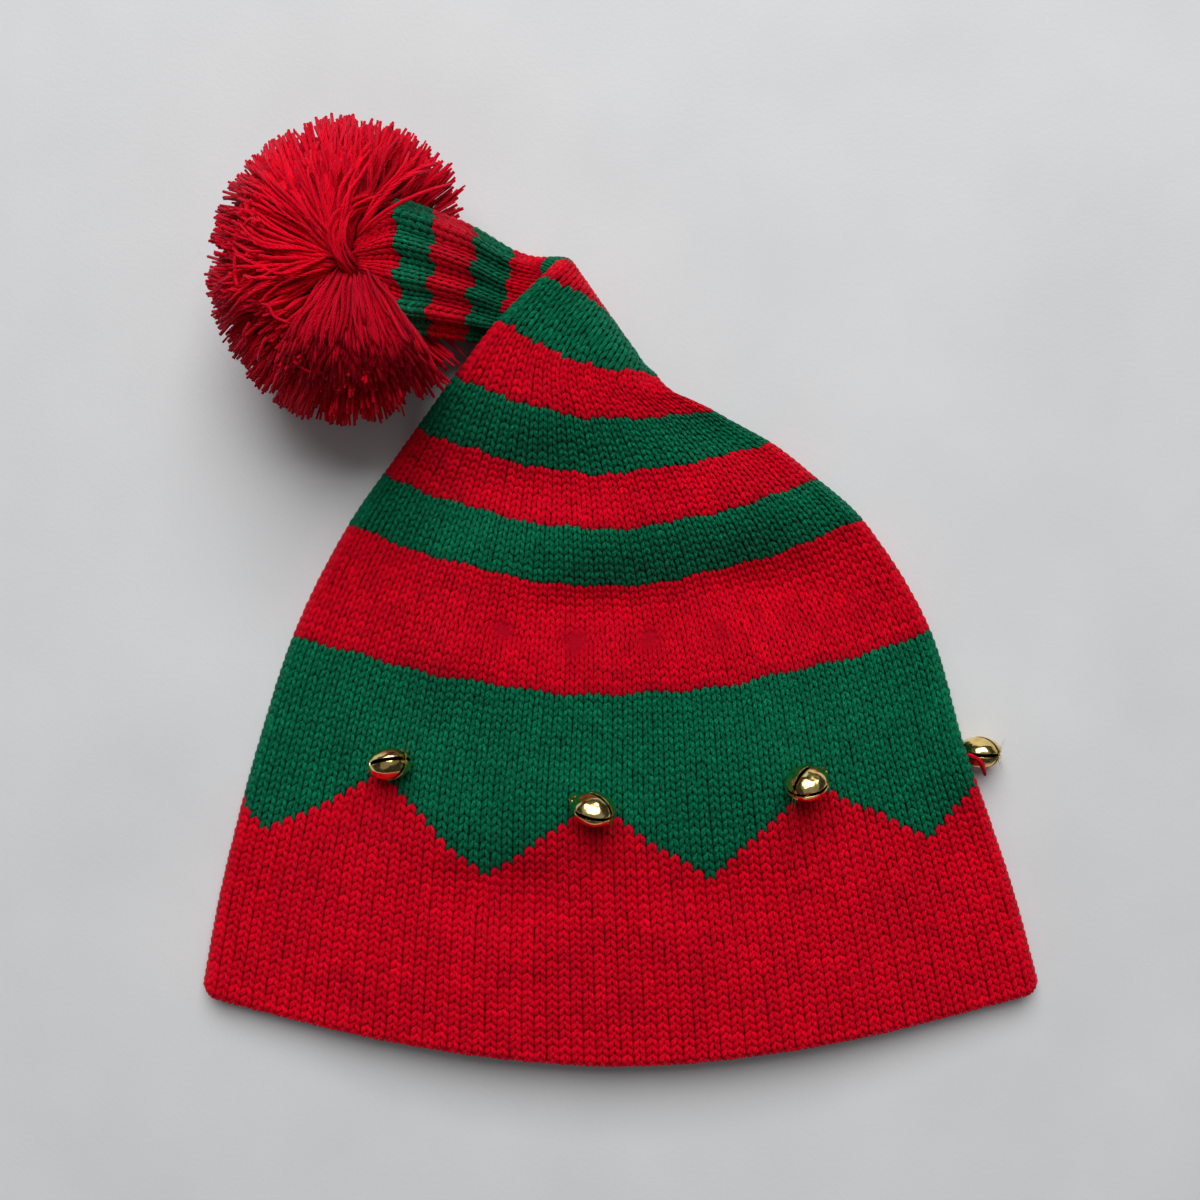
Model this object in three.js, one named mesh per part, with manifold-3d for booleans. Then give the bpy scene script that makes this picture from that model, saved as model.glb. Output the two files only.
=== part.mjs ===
// Knitted striped beanie lying flat: a hollow knitted tube in red and green bands, a pleated tail that rolls
// under the tip, a yarn pompom at its end and jingle bells on the points of a zigzag.
// Millimetres. +X across the brim, +Y from the brim to the tip, +Z up from the surface that the hat lies on.
// The origin is on that surface, midway between the two corners of the brim.

import * as THREE from "three";
import { mergeVertices } from "three/addons/utils/BufferGeometryUtils.js";
import Module from "manifold-3d";

const wasm = await Module();
wasm.setup();

// Knit: wall, the clearance between two bands and the number of stitches in a full round
const wall = 3;
const bandGap = 0.3;
const rowHeight = 2.1;
const walesAround = 140;

// Zigzag: rows of its valleys and points, stitches in one repeat and the stitch of its first point
const valleyRow = 23;
const pointRow = 33;
const repeatWales = 20;
const firstPointWale = 13.6;

// Outline of the knitted tube, laid out with the tail straight: a row of knitting, the left and right ends of
// its chord and the sag of its course towards the brim
const outline = [
  { row: 0, leftX: -121.3, leftY: -2.5, rightX: 121.3, rightY: -1.5, bow: 19 },
  { row: 12, leftX: -116.5, leftY: 24, rightX: 114.5, rightY: 24, bow: 18.5 },
  { row: 23, leftX: -111, leftY: 47, rightX: 107, rightY: 47, bow: 17 },
  { row: 33, leftX: -105, leftY: 69, rightX: 99.5, rightY: 69, bow: 15 },
  { row: 47, leftX: -95, leftY: 100, rightX: 90, rightY: 101, bow: 17 },
  { row: 62, leftX: -79, leftY: 132, rightX: 70, rightY: 133.5, bow: 19 },
  { row: 70, leftX: -69, leftY: 146.5, rightX: 57, rightY: 145, bow: 16 },
  { row: 78, leftX: -59, leftY: 159.5, rightX: 43.5, rightY: 155.5, bow: 12 },
  { row: 86, leftX: -47.5, leftY: 173.5, rightX: 27, rightY: 164, bow: 8 },
  { row: 94, leftX: -35, leftY: 189, rightX: 11.5, rightY: 172, bow: 4 },
  { row: 102, leftX: -23, leftY: 201, rightX: 12.5, rightY: 184.5, bow: 1 },
  { row: 110, leftX: -17, leftY: 207.5, rightX: 13, rightY: 197, bow: 0 },
  { row: 118, leftX: -13.5, leftY: 214.5, rightX: 13.5, rightY: 209, bow: 0 },
  { row: 126, leftX: -11, leftY: 224, rightX: 15.5, rightY: 219.5, bow: 0 },
  { row: 134, leftX: -10.5, leftY: 234, rightX: 18, rightY: 227, bow: 0 },
  { row: 142, leftX: -8.5, leftY: 244, rightX: 21.5, rightY: 235.5, bow: 0 },
  { row: 150, leftX: -6, leftY: 253.5, rightX: 24.5, rightY: 241, bow: 0 },
  { row: 157, leftX: 7.5, leftY: 259.5, rightX: 18.5, rightY: 256.5, bow: 0 },
];

// Heights along the tube: height of the side folds, their radius, the rise of the upper layer between them,
// the lift of the tail and the depth of its pleats
const heights = [
  { row: 0, fold: 4.2, edge: 4.2, rise: 7.5, lift: 0, pleat: 0 },
  { row: 23, fold: 4.2, edge: 4.2, rise: 12, lift: 0, pleat: 0 },
  { row: 47, fold: 4.2, edge: 4.2, rise: 13.5, lift: 0, pleat: 0 },
  { row: 70, fold: 4.4, edge: 4.2, rise: 12.5, lift: 0, pleat: 0 },
  { row: 78, fold: 7.5, edge: 4, rise: 9.5, lift: 0, pleat: 0 },
  { row: 86, fold: 15, edge: 4, rise: 4, lift: 0, pleat: 0 },
  { row: 94, fold: 18, edge: 4, rise: 1.5, lift: 0, pleat: 0 },
  { row: 101, fold: 18, edge: 4, rise: 0, lift: 0, pleat: 0 },
  { row: 118, fold: 18, edge: 4, rise: 0, lift: 0, pleat: 0 },
  { row: 126, fold: 18, edge: 5, rise: 0, lift: 3, pleat: 0.8 },
  { row: 134, fold: 18, edge: 7.5, rise: 0, lift: 13, pleat: 1.7 },
  { row: 142, fold: 18, edge: 9, rise: 0, lift: 26, pleat: 2 },
  { row: 150, fold: 18, edge: 9, rise: 0, lift: 37, pleat: 1.8 },
  { row: 157, fold: 18, edge: 5, rise: 0, lift: 41, pleat: 0.6 },
];
const bowPower = 1.7;
const pleatsAround = 10;

// Crease at the tip: a point on it, its direction, the radius that the tube rolls under at, the height of the
// tube there, and how it fades out beyond its lower end. Past the rolled row the tube lies upside down.
const crease = { x: -10.7, y: 183.5, angle: 125, radius: 7, height: 18, end: -14, flare: 0.06 };
const rolledRow = 110;

// Dents (positive) and bulges (negative) in the upper layer
const dents = [
  { x: -6, y: 107, halfX: 27, halfY: 12, depth: 9 },
  { x: 38, y: 114, halfX: 25, halfY: 12, depth: 10 },
  { x: 0, y: 130, halfX: 26, halfY: 10, depth: -3.5 },
  { x: 46, y: 138, halfX: 20, halfY: 10, depth: -5 },
  { x: 18, y: 150, halfX: 26, halfY: 12, depth: -3.5 },
  { x: -26, y: 142, halfX: 30, halfY: 14, depth: 7 },
  { x: -18, y: 161, halfX: 24, halfY: 10, depth: -2 },
  { x: -46, y: 95, halfX: 12, halfY: 12, depth: -4.5 },
  { x: -63, y: 84, halfX: 9, halfY: 22, depth: 4.5 },
  { x: -64, y: 124, halfX: 9, halfY: 12, depth: 3.5 },
  { x: 8, y: 77, halfX: 4, halfY: 16, depth: 2 },
  { x: 40, y: 62, halfX: 24, halfY: 16, depth: -5 },
  { x: -28, y: 52, halfX: 26, halfY: 16, depth: -5 },
  { x: -82, y: 54, halfX: 12, halfY: 14, depth: 3.5 },
  { x: -34, y: 28, halfX: 16, halfY: 10, depth: 4 },
  { x: 26, y: 28, halfX: 16, halfY: 10, depth: 3.5 },
];
// The right shoulder settles, with both layers
const shoulder = { x: 31, y: 162, halfX: 15, halfY: 13, drop: 6 };

// Jingle bells: radius, the share of it that is left across the pressed sides, wall, slots, sewing loop,
// facets and the clearance to the cloth and to the surface below
const bellRadius = 6.2;
const bellFlat = 0.72;
const bellWall = 0.6;
const slotWidth = 1;
const slotStart = -2;
const loopRadius = 1.6;
const loopWire = 0.45;
const bellFacets = { around: 12, rings: 8, innerAround: 10, innerRings: 6, loopSides: 5, loopAround: 10 };
const seatGap = 0.35;
const floorGap = 0.1;

// The bells in view, each near a point of the zigzag, with its stitch, its row, how far it sinks into the
// knit and the way its slots face
const bells = [
  { wale: 14.8, row: 34.3, sink: 0.12, pole: [0.76, 0.3, 0.57] },
  { wale: 33, row: 32.5, sink: 0.15, pole: [0.8, -0.35, 0.5] },
  { wale: 52.5, row: 33.5, sink: 1.15, pole: [-0.66, -0.45, 0.6] },
  { beside: true, pole: [0.7, -0.08, 0.7] },
];
// The last bell lies beside the right fold, which rides up on it and is drawn in a little
const besidePlace = { x: 103.4, y: 66.2 };
const besideLift = 9.5;
const besidePull = 2;
const besideSpread = 15.5;

// Pompom: middle, radii, head and the locks of yarn around it, with the spread of their lengths
const pompom = { x: -74, y: 199.5, z: 30, radiusX: 35, radiusY: 38, radiusZ: 31 };
const headShare = 0.84;
const headDetail = 2;
const lockCount = 66;
const lockRoot = 4;
const lockTip = 6.4;
const lockSides = 6;
const lockSpread = 0.05;
const lockPhase = 2.3;
// Rows of the tube that press into the pompom, with the step between the rings of the room that they take
const pressedRows = 96;
const pressedStep = 4;

// Facets round the crown and round the tip and tail, and the share of one left free beside a side fold
const crownFacets = 28;
const tailFacets = 20;
const facetMargin = 0.2;
const mergeDistance = 1e-4;

const redYarn = { color: 0xb3081f, roughness: 0.95, metalness: 0 };
const greenYarn = { color: 0x0c5a3b, roughness: 0.95, metalness: 0 };
const redPile = { color: 0x9c0518, roughness: 0.95, metalness: 0 };
const brass = { color: 0xd9b45a, roughness: 0.22, metalness: 1 };

// Value of one column of a table at a row of knitting, by a cubic that never overshoots the table
function tableValue(table, column, row) {
  const last = table.length - 2;
  const found = table.findIndex((entry) => entry.row > row);
  const index = found < 0 ? last : Math.max(found - 1, 0);
  const from = table[index];
  const to = table[index + 1];
  const span = to.row - from.row;
  const t = (row - from.row) / span;
  const startSlope = tableSlope(table, column, index) * span;
  const endSlope = tableSlope(table, column, index + 1) * span;
  if (t < 0) {
    return from[column] + startSlope * t;
  }
  const rise = to[column] - from[column];
  return from[column] + t * (startSlope + t * (3 * rise - 2 * startSlope - endSlope
    + t * (startSlope + endSlope - 2 * rise)));
}

function tableSlope(table, column, index) {
  const secant = (at) => (table[at + 1][column] - table[at][column]) / (table[at + 1].row - table[at].row);
  if (index === 0) {
    return secant(0);
  }
  if (index === table.length - 1) {
    return secant(index - 1);
  }
  const before = secant(index - 1);
  const after = secant(index);
  return before * after > 0 ? (2 * before * after) / (before + after) : 0;
}

// All columns at a row of knitting, with the middle, half length and direction of the chord
function sectionAt(row) {
  const section = {};
  for (const table of [outline, heights]) {
    for (const column of Object.keys(table[0])) {
      section[column] = tableValue(table, column, row);
    }
  }
  section.half = Math.hypot(section.rightX - section.leftX, section.rightY - section.leftY) / 2;
  section.flat = section.half - section.edge;
  section.quarter = (Math.PI / 2) * section.edge;
  section.around = 4 * section.flat + 4 * section.quarter;
  return section;
}

// Row of the zigzag at a share of the way round
function zigzagRow(share) {
  const wale = share * walesAround - firstPointWale;
  const half = repeatWales / 2;
  const fromPoint = Math.abs(THREE.MathUtils.euclideanModulo(wale + half, repeatWales) - half);
  return pointRow - fromPoint * ((pointRow - valleyRow) / half);
}

// Place on the flat section at a share of the way round, from the left fold over the upper layer and back
// along the lower one: distance along the chord, height, outward direction and how far it is the upper layer
function aroundSection({ flat, edge, quarter, around, rise }, share) {
  const length = THREE.MathUtils.euclideanModulo(share, 1) * around;
  const onFold = (angle, side) => ({
    along: side * flat + edge * Math.cos(angle),
    up: edge * Math.sin(angle),
    outAlong: Math.cos(angle),
    outUp: Math.sin(angle),
    upper: (1 + Math.sin(angle)) / 2,
  });
  if (length < quarter) {
    return onFold(Math.PI - length / edge, -1);
  }
  if (length < quarter + 2 * flat) {
    const along = length - quarter - flat;
    const arch = (1 - Math.abs(along / flat) ** 3) ** 2;
    return { along, up: edge + rise * arch, outAlong: 0, outUp: 1, upper: 1 };
  }
  if (length < 3 * quarter + 2 * flat) {
    return onFold(Math.PI / 2 - (length - quarter - 2 * flat) / edge, 1);
  }
  if (length < 3 * quarter + 4 * flat) {
    const along = 3 * quarter + 3 * flat - length;
    return { along, up: -edge, outAlong: 0, outUp: -1, upper: 0 };
  }
  return onFold(-Math.PI / 2 - (length - 3 * quarter - 4 * flat) / edge, -1);
}

function hill(place, x, y, halfX, halfY) {
  return Math.exp(-(((x - place.x) / halfX) ** 2) - ((y - place.y) / halfY) ** 2);
}

function nearBeside(x, y) {
  return hill(besidePlace, x, y, besideSpread, besideSpread);
}

// Height that the dents add to the upper layer, and that the shoulder and the bell beside the hat add to both
function clothLift(x, y, upper) {
  const settled = shoulder.drop * hill(shoulder, x, y, shoulder.halfX, shoulder.halfY);
  let lift = besideLift * nearBeside(x, y) - settled;
  for (const dent of dents) {
    lift -= upper * dent.depth * hill(dent, x, y, dent.halfX, dent.halfY);
  }
  return lift;
}

// Rolls the laid-out tube under the tip along the crease
function rollUnder(point) {
  const angle = THREE.MathUtils.degToRad(crease.angle);
  const alongX = Math.cos(angle);
  const alongY = Math.sin(angle);
  const overX = alongY;
  const overY = -alongX;
  const along = (point.x - crease.x) * alongX + (point.y - crease.y) * alongY;
  const over = (point.x - crease.x) * overX + (point.y - crease.y) * overY;
  const start = crease.flare * Math.max(0, crease.end - along) ** 2;
  if (over <= start) {
    return point;
  }
  const turn = Math.min((over - start) / crease.radius, Math.PI);
  const past = Math.max(0, over - start - Math.PI * crease.radius);
  const axis = crease.height - crease.radius;
  const arm = point.z - axis;
  const reach = start + arm * Math.sin(turn) - past;
  return new THREE.Vector3(
    crease.x + along * alongX + reach * overX,
    crease.y + along * alongY + reach * overY,
    axis + arm * Math.cos(turn),
  );
}

// Point of the knitted tube at a row and a share of the way round, a depth into the wall
function knitPoint(row, share, depth) {
  const section = sectionAt(row);
  const place = aroundSection(section, share);
  const pleat = section.pleat * Math.cos(2 * Math.PI * pleatsAround * share) - depth;
  const along = place.along + place.outAlong * pleat;
  const up = place.up + place.outUp * pleat;
  const sag = -section.bow * (1 - Math.abs(place.along / section.half) ** bowPower);
  const chordX = (section.rightX - section.leftX) / (2 * section.half);
  const chordY = (section.rightY - section.leftY) / (2 * section.half);
  const x = (section.leftX + section.rightX) / 2 + chordX * along - chordY * sag;
  const y = (section.leftY + section.rightY) / 2 + chordY * along + chordX * sag;
  const z = section.fold + up + clothLift(x, y, place.upper);
  const point = rollUnder(new THREE.Vector3(x - besidePull * nearBeside(x, y), y, z));
  point.z += section.lift;
  return point;
}

// Facets round the tube lie at stations, on which a quarter of a side fold has the same length at each row
const foldStation = 0.05;
const stationEnds = [0, foldStation, 0.5 - foldStation, 0.5 + foldStation, 1 - foldStation, 1];

function shareEnds(row) {
  const { quarter, around } = sectionAt(row);
  const fold = quarter / around;
  return [0, fold, 0.5 - fold, 0.5 + fold, 1 - fold, 1];
}

// Moves a value from one list of ends to another, stretch by stretch
function moved(value, fromEnds, toEnds) {
  const next = Math.max(1, fromEnds.findIndex((end) => end >= value));
  return THREE.MathUtils.mapLinear(value, fromEnds[next - 1], fromEnds[next], toEnds[next - 1], toEnds[next]);
}

// Stations of the side folds and of a number of facets between them, from a given share of the way round
function facetStations(count, firstShare, row) {
  const folds = stationEnds.slice(0, -1);
  for (const turned of [0.5, 1]) {
    folds.push(turned - foldStation / 2, (turned + foldStation / 2) % 1);
  }
  folds.push(0.5);
  const clear = foldStation + facetMargin / count;
  const between = [];
  for (let index = 0; index < count; index += 1) {
    const station = moved((firstShare + index / count) % 1, shareEnds(row), stationEnds);
    if (station % 0.5 > clear && station % 0.5 < 0.5 - clear) {
      between.push(station);
    }
  }
  return [...folds, ...between].sort((one, other) => one - other);
}

// Facets round the crown, with the corners of the zigzag among them, and round the tip and tail
const zigzagMiddleRow = (valleyRow + pointRow) / 2;
const firstCornerShare = (firstPointWale - repeatWales / 2) / walesAround;
const facetSets = {
  crown: facetStations(crownFacets, firstCornerShare, zigzagMiddleRow),
  tail: facetStations(tailFacets, 0, rolledRow),
};

// Closed geometry from rings of points: each ring joined to the next, with the last one joined to the first,
// or with both ends closed by a point. The last join is split the other way, so that the end faces of two
// neighbouring bands are split alike.
function ringsGeometry(rings, ends) {
  const count = rings[0].length;
  const positions = rings.flat().flatMap((point) => point.toArray());
  const indices = [];
  const joins = ends ? rings.length - 1 : rings.length;
  for (let ring = 0; ring < joins; ring += 1) {
    const below = ring * count;
    const above = ((ring + 1) % rings.length) * count;
    for (let index = 0; index < count; index += 1) {
      const next = (index + 1) % count;
      const corners = [below + index, below + next, above + next, above + index];
      const [a, b, c, d] = above > below ? corners : [corners[1], corners[2], corners[3], corners[0]];
      indices.push(a, b, c, a, c, d);
    }
  }
  if (ends) {
    const first = rings.length * count;
    const lastRing = (rings.length - 1) * count;
    positions.push(...ends[0].toArray(), ...ends[1].toArray());
    for (let index = 0; index < count; index += 1) {
      const next = (index + 1) % count;
      indices.push(first, next, index);
      indices.push(first + 1, lastRing + index, lastRing + next);
    }
  }
  const geometry = new THREE.BufferGeometry();
  geometry.setAttribute("position", new THREE.Float32BufferAttribute(positions, 3));
  geometry.setIndex(indices);
  return geometry;
}

function middleOf(points) {
  return points.reduce((sum, point) => sum.add(point), new THREE.Vector3()).divideScalar(points.length);
}

// Hollow band of knitting between two rows, which may follow the zigzag
function bandGeometry({ from, to, steps, facets, brim, closed }) {
  const trim = bandGap / rowHeight / 2;
  const stations = facetSets[facets];
  const edgeRow = (edge, station) => (edge === "zigzag"
    ? zigzagRow(moved(station, stationEnds, shareEnds(zigzagMiddleRow))) : edge);
  const ringAt = (step, depth) => stations.map((station) => {
    const start = edgeRow(from, station) + (brim ? 0 : trim);
    const end = edgeRow(to, station) - (closed ? depth / rowHeight : trim);
    const row = THREE.MathUtils.lerp(start, end, step / steps);
    return knitPoint(row, moved(station, stationEnds, shareEnds(row)), depth);
  });
  const outer = Array.from({ length: steps + 1 }, (_, step) => ringAt(step, 0));
  const inner = Array.from({ length: steps + 1 }, (_, step) => ringAt(steps - step, wall));
  if (closed) {
    const outerEnd = middleOf(outer[steps]);
    const innerEnd = middleOf(inner[0]);
    const outerCap = stations.map(() => outerEnd);
    const innerCap = stations.map(() => innerEnd);
    return cleaned(ringsGeometry([...outer, outerCap, innerCap, ...inner]));
  }
  if (brim) {
    const lipRow = -wall / 2 / rowHeight;
    const lip = stations.map(
      (station) => knitPoint(lipRow, moved(station, stationEnds, shareEnds(0)), wall / 2));
    return ringsGeometry([...outer, ...inner, lip]);
  }
  return ringsGeometry([...outer, ...inner]);
}

// Merges the points that coincide and drops the triangles that they empty
function cleaned(geometry) {
  const merged = mergeVertices(geometry, mergeDistance);
  const index = merged.getIndex().array;
  const kept = [];
  for (let at = 0; at < index.length; at += 3) {
    const [a, b, c] = index.slice(at, at + 3);
    if (a !== b && b !== c && c !== a) {
      kept.push(a, b, c);
    }
  }
  merged.setIndex(kept);
  return merged;
}

function toSolid(geometry) {
  const plain = geometry.clone();
  plain.deleteAttribute("normal");
  plain.deleteAttribute("uv");
  const merged = cleaned(plain);
  return new wasm.Manifold(new wasm.Mesh({
    numProp: 3,
    vertProperties: new Float32Array(merged.getAttribute("position").array),
    triVerts: new Uint32Array(merged.getIndex().array),
  }));
}

function toGeometry(solid) {
  const mesh = solid.getMesh();
  const geometry = new THREE.BufferGeometry();
  geometry.setAttribute("position", new THREE.BufferAttribute(mesh.vertProperties, 3));
  geometry.setIndex(new THREE.BufferAttribute(mesh.triVerts, 1));
  return geometry;
}

function largestPiece(solid) {
  return solid.decompose().reduce((best, piece) => (piece.volume() > best.volume() ? piece : best));
}

// Hollow brass bell with pressed sides, two crossing slots round its pole, which is along +Z, and a sewing
// loop opposite
function bellGeometry() {
  const { around, rings, innerAround, innerRings, loopSides, loopAround } = bellFacets;
  const ball = new THREE.SphereGeometry(bellRadius, around, rings).rotateX(Math.PI / 2).scale(1, bellFlat, 1);
  const innerRadius = bellRadius - bellWall;
  const innerFlat = (bellFlat * bellRadius - bellWall) / innerRadius;
  const hollow = new THREE.SphereGeometry(innerRadius, innerAround, innerRings).rotateX(Math.PI / 2);
  hollow.scale(1, innerFlat, 1);
  const loop = new THREE.TorusGeometry(loopRadius, loopWire, loopSides, loopAround).rotateX(Math.PI / 2);
  loop.translate(0, 0, -bellRadius);
  const slotLength = 3 * bellRadius;
  const slots = [[slotWidth, slotLength], [slotLength, slotWidth]].map(([x, y]) => toSolid(
    new THREE.BoxGeometry(x, y, slotLength).translate(0, 0, slotLength / 2 + slotStart)));
  const shell = toSolid(ball).add(toSolid(loop)).subtract(toSolid(hollow));
  return toGeometry(slots.reduce((solid, slot) => solid.subtract(slot), shell));
}

// Middle of a bell, seated on the cloth or on the surface beside it
function bellMiddle({ wale, row, sink, beside }) {
  if (beside) {
    return new THREE.Vector3(besidePlace.x, besidePlace.y, bellRadius + floorGap);
  }
  const share = wale / walesAround;
  const step = 1 / walesAround;
  const across = knitPoint(row, share + step, 0).sub(knitPoint(row, share - step, 0));
  const upward = knitPoint(row + 1, share, 0).sub(knitPoint(row - 1, share, 0));
  const normal = across.cross(upward).normalize();
  return knitPoint(row, share, 0).addScaledVector(normal, bellRadius + seatGap - sink);
}

// Pompom of locks fused to a head, pressed flat below and parted by the tail and the crown
function pompomGeometry() {
  const radii = new THREE.Vector3(pompom.radiusX, pompom.radiusY, pompom.radiusZ);
  const head = new THREE.IcosahedronGeometry(headShare, headDetail).scale(...radii.toArray());
  let solid = toSolid(head);
  const goldenAngle = Math.PI * (3 - Math.sqrt(5));
  for (let index = 0; index < lockCount; index += 1) {
    const z = 1 - (2 * (index + 0.5)) / lockCount;
    const ring = Math.sqrt(1 - z * z);
    const turned = index * goldenAngle;
    const direction = new THREE.Vector3(ring * Math.cos(turned), ring * Math.sin(turned), z);
    const share = 1 + lockSpread * Math.sin(index * lockPhase);
    const length = direction.clone().multiply(radii).length() * share;
    const lock = new THREE.CylinderGeometry(lockTip, lockRoot, length, lockSides).translate(0, length / 2, 0);
    const turn = new THREE.Quaternion().setFromUnitVectors(new THREE.Vector3(0, 1, 0), direction);
    solid = solid.add(toSolid(lock.applyQuaternion(turn)));
  }
  solid = solid.translate([pompom.x, pompom.y, pompom.z]);
  const size = 4 * pompom.radiusZ;
  const below = toSolid(new THREE.BoxGeometry(size, size, size).translate(pompom.x, pompom.y, -size / 2));
  return toGeometry(largestPiece(solid.subtract(below).subtract(tubeSolid())));
}

// Room that the crown and the tail take in the pompom, with clearance and open upwards: the upper layer is
// the first half of the way round on the crown, and the second half once the tube has rolled over
function tubeSolid() {
  const rings = [];
  const lastRow = outline.at(-1).row + 2 * seatGap;
  for (let row = lastRow - pressedRows; row <= lastRow; row += pressedStep) {
    const ends = shareEnds(row);
    const rolled = row > rolledRow;
    rings.push(facetSets.tail.map((station) => {
      const point = knitPoint(row, moved(station, stationEnds, ends), -2 * seatGap);
      point.z += station > 0.5 === rolled ? 2 * pompom.radiusZ : 0;
      return point;
    }));
  }
  return toSolid(ringsGeometry(rings, [middleOf(rings[0]), middleOf(rings.at(-1))]));
}

// Bands of the knitted tube from the brim to the end of the tail
const bands = [
  { name: "brim_band", yarn: redYarn, from: 0, to: "zigzag", steps: 4, facets: "crown", brim: true },
  { name: "zigzag_band", yarn: greenYarn, from: "zigzag", to: 47, steps: 3, facets: "crown" },
  { name: "stripe_red_1", yarn: redYarn, from: 47, to: 62, steps: 3, facets: "crown" },
  { name: "stripe_green_1", yarn: greenYarn, from: 62, to: 70, steps: 2, facets: "crown" },
  { name: "stripe_red_2", yarn: redYarn, from: 70, to: 78, steps: 2, facets: "crown" },
  { name: "stripe_green_2", yarn: greenYarn, from: 78, to: 86, steps: 2, facets: "tail" },
  { name: "stripe_red_3", yarn: redYarn, from: 86, to: 94, steps: 3, facets: "tail" },
  { name: "stripe_green_3", yarn: greenYarn, from: 94, to: 102, steps: 4, facets: "tail" },
  { name: "tip_red", yarn: redYarn, from: 102, to: 110, steps: 3, facets: "tail" },
  { name: "tip_green", yarn: greenYarn, from: 110, to: 118, steps: 3, facets: "tail" },
  { name: "tip_red_end", yarn: redYarn, from: 118, to: 126, steps: 3, facets: "tail" },
  { name: "tail_green_1", yarn: greenYarn, from: 126, to: 134, steps: 2, facets: "tail" },
  { name: "tail_red_1", yarn: redYarn, from: 134, to: 142, steps: 2, facets: "tail" },
  { name: "tail_green_2", yarn: greenYarn, from: 142, to: 150, steps: 2, facets: "tail" },
  { name: "tail_red_end", yarn: redYarn, from: 150, to: 157, steps: 2, facets: "tail", closed: true },
];

function namedMesh(name, geometry, finish) {
  const mesh = new THREE.Mesh(geometry, new THREE.MeshStandardMaterial(finish));
  mesh.name = name;
  return mesh;
}

const hat = new THREE.Group();
for (const band of bands) {
  hat.add(namedMesh(band.name, bandGeometry(band), band.yarn));
}
hat.add(namedMesh("pompom", pompomGeometry(), redPile));
bells.forEach((bell, index) => {
  const mesh = namedMesh(`bell_${index + 1}`, bellGeometry(), brass);
  const pole = new THREE.Vector3(...bell.pole).normalize();
  mesh.quaternion.setFromUnitVectors(new THREE.Vector3(0, 0, 1), pole);
  mesh.position.copy(bellMiddle(bell));
  hat.add(mesh);
});

export default hat;
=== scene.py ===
import math

import bmesh
import bpy
import numpy as np
from mathutils import Matrix, Vector


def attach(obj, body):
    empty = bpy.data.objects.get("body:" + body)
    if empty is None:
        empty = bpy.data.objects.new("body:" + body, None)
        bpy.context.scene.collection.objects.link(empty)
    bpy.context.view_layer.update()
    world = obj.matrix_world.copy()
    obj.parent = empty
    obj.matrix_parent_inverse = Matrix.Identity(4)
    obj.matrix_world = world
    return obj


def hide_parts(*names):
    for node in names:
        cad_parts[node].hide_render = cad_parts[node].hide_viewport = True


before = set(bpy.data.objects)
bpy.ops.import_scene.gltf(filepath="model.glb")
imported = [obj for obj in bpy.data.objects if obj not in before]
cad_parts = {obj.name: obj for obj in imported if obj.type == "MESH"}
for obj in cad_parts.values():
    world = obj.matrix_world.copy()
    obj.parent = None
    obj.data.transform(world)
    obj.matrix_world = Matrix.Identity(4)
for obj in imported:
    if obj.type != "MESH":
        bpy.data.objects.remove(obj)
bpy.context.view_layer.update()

scene = bpy.context.scene
chance = np.random.default_rng(24)
mm = 0.001
print("frame loaded:", len(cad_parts), "nodes")


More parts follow.
